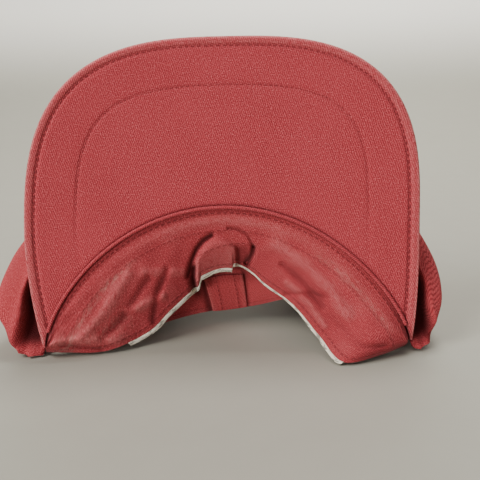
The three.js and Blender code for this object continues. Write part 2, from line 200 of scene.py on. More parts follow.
def crown_normal(azimuth, s):
    azimuth, s = np.broadcast_arrays(np.asarray(azimuth, float), np.asarray(s, float))
    low, high = np.maximum(s - 0.01, 0), np.minimum(s + 0.01, 0.99)
    along = crown_point(azimuth + 0.5, s) - crown_point(azimuth - 0.5, s)
    normal = np.cross(along, crown_point(azimuth, high) - crown_point(azimuth, low))
    flat = np.abs((azimuth + 180) % 360 - 180) > 90
    normal[..., 2] *= np.where(flat, np.minimum(1, 12 * s), 1)
    return normal / np.maximum(np.linalg.norm(normal, axis=-1, keepdims=True), 1e-9)


print("the crown stands", round(APEX[2] - FLOOR), "mm high")

# %% [markdown]
# ## Making the shells
#
# Each cloth piece is a closed shell: a front grid, a back grid, and a rim that joins them. A Solidify
# modifier could thicken a sheet too, but here the thickness has to run in a chosen direction. The shell
# carries three vectors for its material. "cloth" is a place on the flat cloth, in millimetres. "seam" is
# the distance to the nearest row of stitches, the place along it, and how clearly it shows. The third is
# how worn and how sweat-stained the cloth is, and how much shade is painted on it (on the front band
# the worn part also paints light on the pleat).


# %% Grids
def flat_lengths(grid):
    """Distances along the rows and up the columns of a grid: the cloth laid flat."""
    across = np.linalg.norm(np.diff(grid, axis=1), axis=-1)
    upward = np.linalg.norm(np.diff(grid, axis=0), axis=-1)
    u = np.pad(np.cumsum(across, axis=1), ((0, 0), (1, 0)))
    v = np.pad(np.cumsum(upward, axis=0), ((1, 0), (0, 0)))
    return u - u[:, u.shape[1] // 2 : u.shape[1] // 2 + 1], v


def grid_normals(grid):
    n = np.cross(np.gradient(grid, axis=1), np.gradient(grid, axis=0))
    return n / np.maximum(np.linalg.norm(n, axis=-1, keepdims=True), 1e-9)


def grid_quads(rows, columns, offset=0, flip=False):
    k = np.arange(rows * columns).reshape(rows, columns) + offset
    quads = np.stack([k[:-1, :-1], k[:-1, 1:], k[1:, 1:], k[1:, :-1]], -1).reshape(-1, 4)
    return quads[:, ::-1] if flip else quads


print("a grid of 3 by 3 points has", len(grid_quads(3, 3)), "faces")


# %% Meshes and shells
FAR = 99.0  # a distance from which no stitch shows


def make_mesh(name, points, faces, material, **vectors):
    """A mesh from points in millimetres about the temple line, with vectors for its material."""
    mesh = bpy.data.meshes.new(name)
    places = np.reshape(points, (-1, 3)) * MM + TEMPLES
    mesh.from_pydata(places.tolist(), [], [list(map(int, f)) for f in faces])
    for key, value in vectors.items():
        data = mesh.attributes.new(key, "FLOAT_VECTOR", "POINT")
        data.data.foreach_set("vector", np.asarray(value, np.float32).ravel())
    mesh.polygons.foreach_set("use_smooth", np.ones(len(mesh.polygons), bool))
    mesh.materials.append(material)
    mesh.update()
    obj = bpy.data.objects.new(name, mesh)
    bpy.context.scene.collection.objects.link(obj)
    return obj


def without_seam(grid):
    """The seam vectors of a grid that has no stitches."""
    return np.full(grid.shape[:2] + (3,), (FAR, 0.0, 0.0))


def shell(name, front, thickness, material, cloth=None, seam=None, wear=None, away=None):
    """A closed shell behind a front grid. away is the way from the front to the back."""
    rows, columns = front.shape[:2]
    away = -grid_normals(front) if away is None else away
    back = front + away * thickness
    back[..., 2] = np.maximum(back[..., 2], FLOOR + 0.05)
    u, v = flat_lengths(front)
    cloth = np.stack([u, v, np.zeros_like(u)], -1) if cloth is None else cloth
    seam = without_seam(front) if seam is None else seam
    wear = np.zeros_like(front) if wear is None else wear
    count = rows * columns
    k = np.arange(count).reshape(rows, columns)
    loop = np.concatenate([k[0, :-1], k[:-1, -1], k[-1, :0:-1], k[:0:-1, 0]])
    after = np.roll(loop, -1)
    rim = np.stack([after, loop, loop + count, after + count], -1)
    behind = grid_quads(rows, columns, count, True)
    faces = np.concatenate([grid_quads(rows, columns), behind, rim])
    points = np.stack([front, back])
    cloth, seam, wear = (np.stack([a, a]) for a in (cloth, seam, wear))
    return make_mesh(name, points, faces, material, cloth=cloth, seam=seam, wear=wear)


TUBE_SIDES = 12


def tube(name, line, radius, material, pucker, pitch=3.0):
    """A cord along a line, pinched at each stitch."""
    line = np.asarray(line, float)
    run = np.concatenate([[0], np.cumsum(np.linalg.norm(np.diff(line, axis=0), axis=1))])
    tangent = np.gradient(line, axis=0)
    tangent /= np.linalg.norm(tangent, axis=1, keepdims=True)
    side = np.cross(tangent, BACK)
    side /= np.linalg.norm(side, axis=1, keepdims=True)
    other = np.cross(tangent, side)
    angle = np.linspace(0, 2 * math.pi, TUBE_SIDES, endpoint=False)
    size = radius * (1 - pucker * (0.5 + 0.5 * np.cos(2 * math.pi * run / pitch)))[:, None, None]
    ring = np.cos(angle)[None, :, None] * side[:, None]
    ring = ring + np.sin(angle)[None, :, None] * other[:, None]
    count = len(line)
    k = np.arange(count * TUBE_SIDES).reshape(count, TUBE_SIDES)
    nxt = np.roll(k, -1, axis=1)
    faces = np.stack([k[:-1], nxt[:-1], nxt[1:], k[1:]], -1).reshape(-1, 4).tolist()
    faces += [list(k[0, ::-1]), list(k[-1])]
    around, along = np.broadcast_arrays(angle * radius, run[:, None])
    cloth = np.stack([along, around, np.zeros_like(around)], -1)
    return make_mesh(
        name, line[:, None] + size * ring, faces, material,
        cloth=cloth, seam=without_seam(cloth), wear=np.zeros_like(cloth),
    )


print("shells and tubes can be made")

# %% [markdown]
# ## The finishes
#
# Cotton twill is woven so that each yarn steps over the next, which makes steep diagonal ribs about a
# millimetre apart. The ribs wear pale on top and stay dark between. A picture of cloth could be wrapped
# on instead, but nodes stay sharp at any distance and follow the cut of each piece. The weave is one
# shared group that gives a height; the dyed colour, the wear, the sweat stains, the stitches and a
# painted shade (darker in stitch grooves, creases and hollows) are laid over it.


# %% Node helpers
def feed(tree, socket, value):
    """Link another socket to this one, or set its value."""
    if isinstance(value, bpy.types.NodeSocket):
        tree.links.new(value, socket)
    else:
        socket.default_value = value


def wire(tree, kind, settings=None, **inputs):
    """A node with its settings, and its inputs set to values or linked from sockets."""
    node = tree.nodes.new("ShaderNode" + kind)
    for key, value in (settings or {}).items():
        setattr(node, key, value)
    for key, value in inputs.items():
        numbered = key[0] == "i" and key[1:].isdigit()
        feed(tree, node.inputs[int(key[1:]) if numbered else key], value)
    return node


def maths(tree, operation, *values):
    inputs = {"i%d" % k: value for k, value in enumerate(values)}
    return wire(tree, "Math", {"operation": operation}, **inputs).outputs[0]


def ramp(tree, value, low, high, to_low=0.0, to_high=1.0):
    node = wire(tree, "MapRange", {"interpolation_type": "SMOOTHSTEP"}, i0=value, i1=low, i2=high)
    node.inputs[3].default_value, node.inputs[4].default_value = to_low, to_high
    return node.outputs[0]


def mix_colour(tree, factor, a, b):
    """Colour a turned towards colour b. Each is a socket, or red, green and blue."""
    node = wire(tree, "Mix", {"data_type": "RGBA"}, i0=factor)
    for key, colour in ((6, a), (7, b)):
        feed(tree, node.inputs[key], (*colour, 1) if isinstance(colour, tuple) else colour)
    return node.outputs[2]


def noise(tree, vector, scale, detail=3.0, roughness=0.55):
    inputs = {"Vector": vector, "Scale": scale, "Detail": detail, "Roughness": roughness}
    return wire(tree, "TexNoise", **inputs).outputs[0]


def group(name, inputs, outputs):
    """An empty node group with float or vector sockets, its input sockets and its output node."""
    tree = bpy.data.node_groups.new(name, "ShaderNodeTree")
    for key, kind, value in inputs:
        socket = tree.interface.new_socket(key, in_out="INPUT", socket_type="NodeSocket" + kind)
        if value is not None:
            socket.default_value = value
    for key, kind in outputs:
        tree.interface.new_socket(key, in_out="OUTPUT", socket_type="NodeSocket" + kind)
    return tree, tree.nodes.new("NodeGroupInput").outputs, tree.nodes.new("NodeGroupOutput").inputs


def use_group(tree, of, **inputs):
    node = tree.nodes.new("ShaderNodeGroup")
    node.node_tree = of
    for key, value in inputs.items():
        feed(tree, node.inputs[key], value)
    return node.outputs


print("node helpers can be used")


# %% The weave and stitch groups
TURN = 2 * math.pi


def weave_group():
    """Twill ribs at a steep slant, cut into yarn floats. Cloth is in millimetres."""
    tree, given, result = group(
        "twill_weave",
        [("Cloth", "Vector", None), ("Pitch", "Float", 1.0), ("Slant", "Float", 0.36)],
        [("Height", "Float"), ("Rib", "Float")],
    )
    wobble = wire(tree, "TexNoise", Vector=given["Cloth"], Scale=0.16, Detail=2.0).outputs[0]
    parts = wire(tree, "SeparateXYZ", Vector=given["Cloth"]).outputs
    slanted = maths(tree, "MULTIPLY", parts[1], given["Slant"])
    across = maths(tree, "ADD", parts[0], slanted)
    across = maths(tree, "ADD", across, maths(tree, "MULTIPLY", wobble, 1.1))
    rib_place = maths(tree, "DIVIDE", across, given["Pitch"])
    rib_wave = maths(tree, "SINE", maths(tree, "MULTIPLY", rib_place, TURN))
    rib = ramp(tree, rib_wave, -0.75, 0.6)
    step = maths(tree, "MULTIPLY", maths(tree, "FLOOR", rib_place), 0.37)
    float_place = maths(tree, "ADD", maths(tree, "DIVIDE", parts[1], given["Pitch"]), step)
    yarn = maths(tree, "SINE", maths(tree, "MULTIPLY", float_place, 0.8 * TURN))
    yarn = maths(tree, "MULTIPLY_ADD", yarn, 0.27, 0.73)
    tree.links.new(maths(tree, "MULTIPLY", rib, yarn), result["Height"])
    tree.links.new(rib, result["Rib"])
    return tree


def stitch_group():
    """A row of stitches: the thread that shows, and the groove it pulls into the cloth."""
    tree, given, result = group(
        "stitch_row",
        [("Seam", "Vector", None), ("Length", "Float", 3.0)],
        [("Thread", "Float"), ("Groove", "Float")],
    )
    parts = wire(tree, "SeparateXYZ", Vector=given["Seam"]).outputs
    away = maths(tree, "ABSOLUTE", parts[0])
    stitch_place = maths(tree, "DIVIDE", parts[1], given["Length"])
    wave = maths(tree, "SINE", maths(tree, "MULTIPLY", stitch_place, TURN))
    dash = ramp(tree, wave, -0.55, -0.1)
    line = ramp(tree, away, 0.5, 0.22)
    shows = maths(tree, "MULTIPLY", maths(tree, "MULTIPLY", line, dash), parts[2])
    tree.links.new(shows, result["Thread"])
    groove = maths(tree, "MULTIPLY", ramp(tree, away, 1.3, 0.2), parts[2])
    tree.links.new(groove, result["Groove"])
    return tree


WEAVE = weave_group()
STITCH = stitch_group()
print("groups:", WEAVE.name, STITCH.name)


# %% Material helpers
def new_material(name):
    material = bpy.data.materials.new(name)
    material.use_nodes = True
    material.node_tree.nodes.clear()
    return material, material.node_tree


def finish_material(tree, colour, height, distance, roughness, **plain):
    """The Principled shader, its bump and the output. Plain values go on the shader's sockets."""
    relief = wire(tree, "Bump", Height=height, Distance=distance, Strength=1.0).outputs[0]
    shader = wire(tree, "BsdfPrincipled", Normal=relief)
    tree.links.new(colour, shader.inputs["Base Color"])
    tree.links.new(roughness, shader.inputs["Roughness"])
    for key, value in plain.items():
        shader.inputs[key.replace("_", " ")].default_value = value
    output = tree.nodes.new("ShaderNodeOutputMaterial")
    tree.links.new(shader.outputs[0], output.inputs[0])


def attribute(tree, name):
    return wire(tree, "Attribute", {"attribute_name": name}).outputs["Vector"]


print("material helpers can be used")


# %% Twill finishes
STITCH_LENGTH = 3.1
LIGHT_FLECK, DARK_FLECK = (0.72, 0.16, 0.17), (0.13, 0.012, 0.016)
# RUBBED and SWEATY are the cloth's real wear and sweat stains; SHADED is painted shade.
RUBBED, SWEATY, SHADED = (0.74, 0.25, 0.24), (0.42, 0.20, 0.17), (0.10, 0.012, 0.014)
# The first colour is painted shade in the grooves that stitches pull into the cloth; the second is the
# thread's own colour.
GROOVE_SHADE, THREAD = (0.16, 0.02, 0.022), (0.12, 0.012, 0.015)


def twill(name, rib, valley=(0.24, 0.020, 0.025), pitch=1.0, slant=0.36, seed=0.0):
    """Washed cotton twill with stitches, wear, sweat stains and painted shade."""
    material, tree = new_material(name)
    cloth = attribute(tree, "cloth")
    moved = wire(tree, "VectorMath", {"operation": "ADD"}, i0=cloth, i1=(seed, 0.7 * seed, 0)).outputs[0]
    weave = use_group(tree, WEAVE, Cloth=moved, Pitch=pitch, Slant=slant)
    stitch = use_group(tree, STITCH, Seam=attribute(tree, "seam"), Length=STITCH_LENGTH)
    wear = wire(tree, "SeparateXYZ", Vector=attribute(tree, "wear")).outputs

    blotch = noise(tree, moved, 0.035, 4.0)
    fleck = noise(tree, moved, 1.6, 2.0, 0.7)
    colour = mix_colour(tree, weave["Height"], valley, rib)
    faded = tuple(0.8 * c for c in rib)
    colour = mix_colour(tree, ramp(tree, blotch, 0.3, 0.7, 0.0, 0.28), colour, faded)
    colour = mix_colour(tree, ramp(tree, fleck, 0.52, 0.68, 0.0, 0.7), colour, LIGHT_FLECK)
    colour = mix_colour(tree, ramp(tree, fleck, 0.46, 0.3, 0.0, 0.85), colour, DARK_FLECK)

    patches = ramp(tree, noise(tree, moved, 0.5, 4.0), 0.25, 0.6)
    rubbed = maths(tree, "MULTIPLY", wear[0], patches)
    on_ribs = maths(tree, "MULTIPLY_ADD", weave["Height"], 0.6, 0.4)
    colour = mix_colour(tree, maths(tree, "MULTIPLY", rubbed, on_ribs), colour, RUBBED)
    stretch = {"i0": moved, "i1": (0.35, 0.6, 1)}
    streak = wire(tree, "VectorMath", {"operation": "MULTIPLY"}, **stretch).outputs[0]
    streaks = ramp(tree, noise(tree, streak, 1.0, 6.0, 0.7), 0.38, 0.68)
    colour = mix_colour(tree, maths(tree, "MULTIPLY", wear[1], streaks), colour, SWEATY)
    # painted shade: the wear vector's third part darkens the cloth where shade would fall
    colour = mix_colour(tree, wear[2], colour, SHADED)
    # painted shade in the stitch grooves
    colour = mix_colour(tree, maths(tree, "MULTIPLY", stitch["Groove"], 0.14), colour, GROOVE_SHADE)
    colour = mix_colour(tree, maths(tree, "MULTIPLY", stitch["Thread"], 0.75), colour, THREAD)

    height = maths(tree, "MULTIPLY_ADD", weave["Height"], 0.35, maths(tree, "MULTIPLY", fleck, 0.18))
    height = maths(tree, "SUBTRACT", height, maths(tree, "MULTIPLY", stitch["Groove"], 0.9))
    height = maths(tree, "MULTIPLY_ADD", stitch["Thread"], 0.35, height)
    roughness = maths(tree, "MULTIPLY_ADD", weave["Height"], -0.08, 0.95)
    finish_material(
        tree, colour, height, 0.0004, roughness, Sheen_Weight=0.05, Sheen_Roughness=0.5,
        Specular_IOR_Level=0.18,
    )
    return material


PEAK_TWILL = twill("peak_twill", rib=(0.555, 0.064, 0.080))
CROWN_TWILL = twill("crown_twill", rib=(0.58, 0.068, 0.077), seed=31.0, slant=-0.36)
BAND_TWILL = twill(
    "band_twill", rib=(0.53, 0.060, 0.071), valley=(0.22, 0.02, 0.024), pitch=0.85, seed=57.0
)
TAPE_TWILL = twill(
    "tape_twill", rib=(0.70, 0.090, 0.10), valley=(0.34, 0.034, 0.04), pitch=0.8, seed=83.0
)
print("twills:", PEAK_TWILL.name, CROWN_TWILL.name, BAND_TWILL.name, TAPE_TWILL.name)

# %% [markdown]
# The interlining is felted, not woven, so it has no ribs: it is a pale mat of fibres with grey dirt in
# its edge. The closure's hook and loop, the steel back of the button and the board inside the peak are
# plain, but none of them is one flat colour.


# %% Other materials
def interlining():
    material, tree = new_material("interlining")
    place = attribute(tree, "cloth")
    stretch = {"i0": place, "i1": (0.22, 0.8, 1)}
    long = wire(tree, "VectorMath", {"operation": "MULTIPLY"}, **stretch).outputs[0]
    dirt = noise(tree, long, 1.0, 4.0, 0.65)
    fibre = noise(tree, place, 4.0, 3.0, 0.7)
    colour = mix_colour(tree, fibre, (0.74, 0.66, 0.50), (0.97, 0.90, 0.76))
    colour = mix_colour(tree, ramp(tree, dirt, 0.5, 0.58, 0.0, 0.85), colour, (0.22, 0.20, 0.16))
    finish_material(tree, colour, fibre, 0.0003, ramp(tree, fibre, 0.2, 0.8, 0.85, 1.0))
    return material


def pile(name, dark, light, scale):
    """A mat of loops or hooks."""
    material, tree = new_material(name)
    place = attribute(tree, "cloth")
    cells = wire(tree, "TexVoronoi", Vector=place, Scale=scale).outputs[0]
    colour = mix_colour(tree, cells, light, dark)
    finish_material(tree, colour, cells, 0.0006, ramp(tree, cells, 0.0, 1.0, 0.8, 1.0))
    return material


def coordinates(tree, scale):
    """Places on a CAD node, scaled up from metres."""
    place = wire(tree, "TexCoord").outputs["Object"]
    return wire(tree, "VectorMath", {"operation": "MULTIPLY"}, i0=place, i1=(scale,) * 3).outputs[0]


def steel():
    material, tree = new_material("button_steel")
    place = coordinates(tree, 1000.0)
    scratch = noise(tree, place, 1.5, 5.0, 0.7)
    colour = mix_colour(tree, scratch, (0.42, 0.41, 0.39), (0.62, 0.61, 0.59))
    roughness = ramp(tree, scratch, 0.3, 0.7, 0.3, 0.5)
    finish_material(tree, colour, scratch, 0.00005, roughness, Metallic=1.0)
    return material


def plastic():
    material, tree = new_material("peak_plastic")
    place = coordinates(tree, 1000.0)
    grain = noise(tree, place, 0.8, 3.0)
    colour = mix_colour(tree, grain, (0.60, 0.59, 0.54), (0.72, 0.71, 0.67))
    finish_material(tree, colour, grain, 0.0001, ramp(tree, grain, 0.2, 0.8, 0.45, 0.6))
    return material


INTERLINING = interlining()
LOOPS = pile("loop_pile", (0.10, 0.02, 0.022), (0.26, 0.06, 0.062), 1.1)
HOOKS = pile("hook_pile", (0.07, 0.015, 0.017), (0.20, 0.05, 0.052), 0.8)
print(len(bpy.data.materials), "materials")

# %% [markdown]
# ## The peak
#
# One cover runs from the seam up the under side, round the edge and down the top side. Its thickness
# dips where each row of stitches pulls it in: one row near the edge, which leaves a soft rolled rim, and
# one further in that fades out down the sides. Two flat covers could be laid on the board instead, but a
# single one turns the edge as the real cloth does.

# %% Peak cover
STITCH_ROWS = (4.8, 24.0)  # how far in from the edge
OTHER_SIDE = 300  # moves the weave of the top side along, so that it doesn't mirror the under side


def peak_cover():
    columns, under, roll, top = 241, 70, 9, 40
    t = np.linspace(0, 1, columns)
    u0 = -SEAM_HALF * np.cos(math.pi * t)
    seam = np.stack([u0, seam_height(u0)], -1)
    edge = np.stack(peak_edge(t), -1)
    span = edge - seam
    length = np.maximum(np.linalg.norm(span, axis=1), 1e-6)
    inner = np.minimum(HALF_PEAK, 0.45 * length) / length

    def layer(q):
        start = 0.3 / np.maximum(length, 3)
        share = start + q * (1 - inner - start)
        return seam + span * share[:, None]

    rows = []  # the places of a row of points, and -1 on the under side to 1 on the top side
    for q in 1 - (1 - np.linspace(0, 1, under)) ** 1.5:
        rows.append((layer(q), -1.0))
    for angle in np.linspace(0, math.pi, roll + 2)[1:-1]:
        rows.append((layer(1.0) + span * (inner * math.sin(angle))[:, None], -math.cos(angle)))
    for q in (1 - np.linspace(0, 1, top)) ** 0.8:
        rows.append((layer(q), 1.0))
    uv = np.array([places for places, _ in rows])
    side = np.array([np.full(columns, way) for _, way in rows])
    u, v = uv[..., 0], uv[..., 1]
    distance, run = from_edge(u, v)

    thin = HALF_PEAK * np.minimum(1, 0.45 + length / 12)[None, :]
    outer_row, inner_row = STITCH_ROWS
    dip = 0.42 * bump(distance, outer_row, 1.1) + 0.16 * bump(distance, inner_row, 1.6)
    puff = 0.25 * bump(distance, 2.3, 1.4)
    swell = 0.35 * np.sin(u / 19 + 1.3) * np.sin(v / 23) * smooth(distance, 6, 30)
    depth = side * (thin - dip + puff) + swell
    points = peak_point(u, v, depth)

    fade = smooth(v, 35, 85)
    to_outer, to_inner = np.abs(distance - outer_row), np.abs(distance - inner_row)
    row = np.minimum(to_outer, to_inner)
    shows = np.where(to_outer < to_inner, 1.0, 0.85 * fade)
    rim_wear = 0.75 * bump(distance, 0.4, 1.1) + 0.25 * bump(distance, 3.2, 1.0)
    # painted shade along the seam on the under side of the peak, beside the seam roll
    seam_shade = 0.5 * bump(np.hypot(u - u0[None], v - seam[None, :, 1]), 0, 1.5) * (side < 0)
    wear = np.stack([rim_wear, np.zeros_like(u), seam_shade], -1)
    cloth = np.stack([u + (side > 0) * OTHER_SIDE, v, np.zeros_like(u)], -1)
    quads = grid_quads(len(rows), columns)
    k = np.arange(len(rows) * columns).reshape(len(rows), columns)
    shut = np.stack([k[0, 1:], k[0, :-1], k[-1, :-1], k[-1, 1:]], -1)
    ends = [list(k[::-1, 0]), list(k[:, -1])]
    rows_of_stitches = np.stack([row, run, shows], -1)
    return make_mesh(
        "peak_cover", points, quads.tolist() + shut.tolist() + ends, PEAK_TWILL,
        cloth=cloth, seam=rows_of_stitches, wear=wear,
    )


cover = peak_cover()
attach(cover, "peak")
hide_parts("peak_under_cover", "peak_top_cover")
print("peak cover:", len(cover.data.vertices), "points")


# %% Rolled seam
ROLL_DEPTH = -HALF_PEAK - 1.15


def seam_roll():
    angle = np.radians(np.linspace(6, 174, 260))
    u = -0.985 * SEAM_HALF * np.cos(angle)
    line = peak_point(u, seam_height(u) - 0.4, ROLL_DEPTH + 0.25)
    return tube("peak_seam_roll", line, 0.95, PEAK_TWILL, pucker=0.16)


roll = seam_roll()
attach(roll, "peak")
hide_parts("peak_seam_roll")
print("seam roll:", len(roll.data.vertices), "points")

# %% [markdown]
# ## The turned-out front
#
# The sweatband falls from the peak seam and lies on the table at both sides. In the middle it is folded
# into a short box pleat, so its edge steps forward and back again. Its raw edge shows as a pale strip of
# interlining. Behind it hangs the lower edge of the front panels, with the tape of the centre seam. A
# cloth simulation would drape a band like this, but its folds would fall where they like. Here each fold
# has its own place, so the band is a smooth sheet between two curves, pushed in and out along lines.

# %% Sweatband surface
BAND_EDGE = np.array(  # angle round the seam, then across, back and up
    [
        [4, -88, 6.5, -5.2],
        [15, -75, 5, -5.2],
        [28, -57, 6.5, -5.2],
        [45, -38, 16, 0],
        [60, -27, 22, 9],
        [75, -15, 28, 18],
        [90, -1, 32, 25],
        [105, 12, 31, 25],
        [120, 24, 26, 18],
        [135, 35, 19, 11],
        [150, 46, 7, 0],
        [163, 55, -12, -5.2],
        [171, 74, -5, -5.2],
        [176, 89, 6, -5.2],
    ],
    float,
)
BAND_FRONT = ROLL_DEPTH + 1.25
BAND_BELLY = 3  # how far it bellies out between the seam and its edge


def through(points, t):
    """A smooth curve through points: Catmull-Rom, t from 0 to the number of spans."""
    points = np.asarray(points, float)
    padded = np.concatenate([[2 * points[0] - points[1]], points, [2 * points[-1] - points[-2]]])
    k = np.clip(np.floor(t).astype(int), 0, len(points) - 2)
    f = (np.asarray(t, float) - k)[..., None]
    a, b, c, d = (padded[k + n] for n in range(4))
    curve = 2 * b + (c - a) * f + (2 * a - 5 * b + 4 * c - d) * f**2
    return 0.5 * (curve + (3 * b - a - 3 * c + d) * f**3)


def band_edge(angle):
    t = np.interp(angle, BAND_EDGE[:, 0], np.arange(len(BAND_EDGE)))
    return through(BAND_EDGE[:, 1:], t)


def turned_out(angle, q):
    angle, q = np.broadcast_arrays(np.asarray(angle, float), np.asarray(q, float))
    u = -SEAM_HALF * np.cos(np.radians(angle))
    seam = peak_point(0.99 * u, 0.99 * seam_height(u) - 0.4, BAND_FRONT)
    belly = -BAND_BELLY * np.sin(math.pi * np.minimum(q, 1))
    return seam + (band_edge(angle) - seam) * q[..., None] + belly[..., None] * BACK


print("the band reaches from", BAND_EDGE[0, 1], "to", BAND_EDGE[-1, 1], "mm across")


# %% Centre pleat
WIDE = 32.0  # the band's width in the middle
DARKEST = 0.97  # shade in the deepest hollow
HOLLOWS = (  # across the cap and down from the seam, then how wide and how deep
    ([(-18, 25), (-15.8, 20), (-13.2, 16.2), (-9.5, 13.4), (-5.5, 12)], 1.1, 3.0),
    ([(-15.2, 23.5), (-15.9, 27.5), (-15.4, 31), (-13.8, 33.5)], 1.6, 5.0),
    ([(15.2, 18), (14.6, 21), (13.2, 25), (11.4, 29.5)], 1.2, 3.6),
    ([(3, 9.6), (8, 10.2), (12.6, 12.8), (15.2, 17.5)], 0.8, 1.2),
)


def line_distance(x, y, points):
    """Distance of each place from a line through points."""
    best = np.full(np.shape(x), 1e9)
    for (ax, ay), (bx, by) in zip(points[:-1], points[1:]):
        dx, dy = bx - ax, by - ay
        t = np.clip(((x - ax) * dx + (y - ay) * dy) / (dx * dx + dy * dy), 0, 1)
        best = np.minimum(best, np.hypot(x - ax - t * dx, y - ay - t * dy))
    return best


def pleat(x, q):
    """The pleat in the middle: how far it stands out, how far its hem is lifted, and its painted shade.
    """
    y = q * WIDE
    arch = 12 + 0.06 * (x + 3) ** 2
    face = smooth(x, -15.2, -13.2) * smooth(x, 7.2, 5.6) * smooth(y - arch, 0, 5)
    inner = smooth(x, 6.0, 7.5) * smooth(x, 13.5, 12.0) * smooth(y, 17.5, 20.5)
    out = 3.4 * face * (0.7 + 0.6 * smooth(y, 14, 32)) - 1.2 * inner
    # painted shade in the recess inside the pleat, and below in each hollow by its depth
    dark = 0.4 * inner
    for points, width, depth in HOLLOWS:
        near = bump(line_distance(x, y, points), 0, width)
        out = out - depth * near
        dark = np.maximum(dark, min(DARKEST, 0.36 * depth) * near)
    left = np.interp(x, [-12.8, -11.4, 3.8], [0, 4.4, 1.8]) * smooth(x, 5.4, 4.0)
    right = np.interp(x, [4.6, 13, 19], [4.4, 2.0, 0]) * smooth(x, 3.8, 5.2)
    return out, np.maximum(left, right) * smooth(q, 0.55, 1), dark


print("the pleat has", len(HOLLOWS), "hollows round it")


# %% Wrinkles
BAND_LENGTH = 190.0  # along the band, from temple to temple
WRINKLES = (  # angle round the seam and share of the width, at both ends, then how wide and how high
    (24, 0.62, 52, 0.34, 2.2, 0.9),
    (30, 0.80, 58, 0.52, 1.8, -1.0),
    (44, 0.66, 60, 0.80, 1.6, 1.0),
    (50, 0.92, 66, 0.58, 1.6, -1.2),
    (58, 0.45, 72, 0.70, 2.0, 0.8),
    (112, 0.40, 150, 0.55, 2.4, 0.9),
    (118, 0.62, 142, 0.72, 1.6, -1.2),
    (124, 0.80, 148, 0.86, 1.5, 1.0),
    (128, 0.95, 140, 0.62, 1.4, -0.9),
    (146, 0.72, 168, 0.62, 2.2, -0.8),
    (10, 0.45, 34, 0.88, 2.6, 0.8),
    (14, 0.70, 26, 0.95, 1.6, -0.9),
)


def wrinkles(angle, q):
    """Soft ridges and hollows where the band has creased."""
    x, y = angle / 180 * BAND_LENGTH, q * WIDE
    height = 0.35 * np.sin(0.31 * x + 0.5 * np.sin(0.4 * y)) * np.sin(0.2 * y + 0.13 * x)
    for a0, q0, a1, q1, width, tall in WRINKLES:
        ends = [(a0 / 180 * BAND_LENGTH, q0 * WIDE), (a1 / 180 * BAND_LENGTH, q1 * WIDE)]
        height = height + 1.5 * tall * bump(line_distance(x, y, ends), 0, width)
    return height * smooth(q, 0.08, 0.25)


print(len(WRINKLES), "wrinkles")


# %% Front sweatband
BAND_THICK = 1.1


def front_band():
    columns, rows = 400, 96
    angle, q = np.meshgrid(np.linspace(5, 175.5, columns), np.linspace(0, 1, rows))
    base = turned_out(angle, q)
    stand, lift, pleat_shade = pleat(base[..., 0], q)
    calm = 1 - smooth(np.abs(base[..., 0]), 21, 14)
    crease = wrinkles(angle, q)
    front = base - (stand + crease * calm + 0.5 * bump(q, 0.16, 0.07))[..., None] * BACK
    front[..., 2] = np.maximum(front[..., 2] + lift, FLOOR + 0.4)
    u, v = flat_lengths(base)
    reach = v[-1:, :]
    x = base[..., 0]
    pleat_row = np.abs(q * WIDE - (19.4 - 0.11 * (x + 13))) + 40 * smooth(np.abs(x), 13, 15)
    rows_at = np.abs(np.stack([v - 2.1, v - 11.0, v - (reach - 3.2), pleat_row], -1))
    row = rows_at.min(-1)
    shows = np.choose(np.argmin(rows_at, -1), [0.95, 0.5, 0.75, 0.6])
    left_streak = bump(v, 13 - 0.06 * (angle - 30), 1.5)
    sweat = 0.6 * left_streak * smooth(angle, 10, 22) * smooth(angle, 62, 48)
    sweat += 0.4 * bump(v, 9, 2.2) * smooth(angle, 118, 135) * smooth(angle, 172, 160)
    sweat += 0.6 * bump(v, 14, 6) * bump(angle, 13, 6) + 0.3 * bump(q, 0.7, 0.2) * bump(angle, 34, 12)
    sweat += 0.3 * bump(x, 4, 2) * bump(q, 0.72, 0.2)
    # Rubbed pale on the wrinkle ridges and near the seam in the middle.
    worn_and_lit = np.clip(0.35 * crease, 0, 0.4) * calm + 0.35 * bump(v, 6, 2.2) * bump(angle, 92, 30)
    # painted light on the pleat's tab: a pale line along its left fold and a paler face where it stands
    # out
    worn_and_lit += 0.3 * bump(x, -13.2, 1.0) * smooth(q, 0.55, 0.75) + 0.08 * np.clip(stand, 0, 4)
    # painted shade: the pleat's hollows, the wrinkle hollows, a line under the seam, and darker towards
    # the right and lower down
    shade = np.maximum(pleat_shade, np.clip(-0.3 * crease, 0, 0.55) * calm)
    low_shade = (0.04 + 0.15 * smooth(angle, 95, 135)) * smooth(q, 0.25, 0.7)
    shade = np.maximum(shade, 0.4 * bump(v, 0, 1.0) + low_shade)
    wear = np.stack([worn_and_lit, np.minimum(sweat, 1), np.minimum(shade, 0.95)], -1)
    seam = np.stack([row, u, shows], -1)
    cloth = np.stack([u, v, 0 * u], -1)
    obj = shell("sweatband_front", front, BAND_THICK, BAND_TWILL, cloth, seam, wear, BACK)
    return obj, front[-1], angle[-1]


band, band_hem, hem_angle = front_band()
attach(band, "peak")
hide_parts("sweatband_front")
print("front sweatband:", len(band.data.vertices), "points")


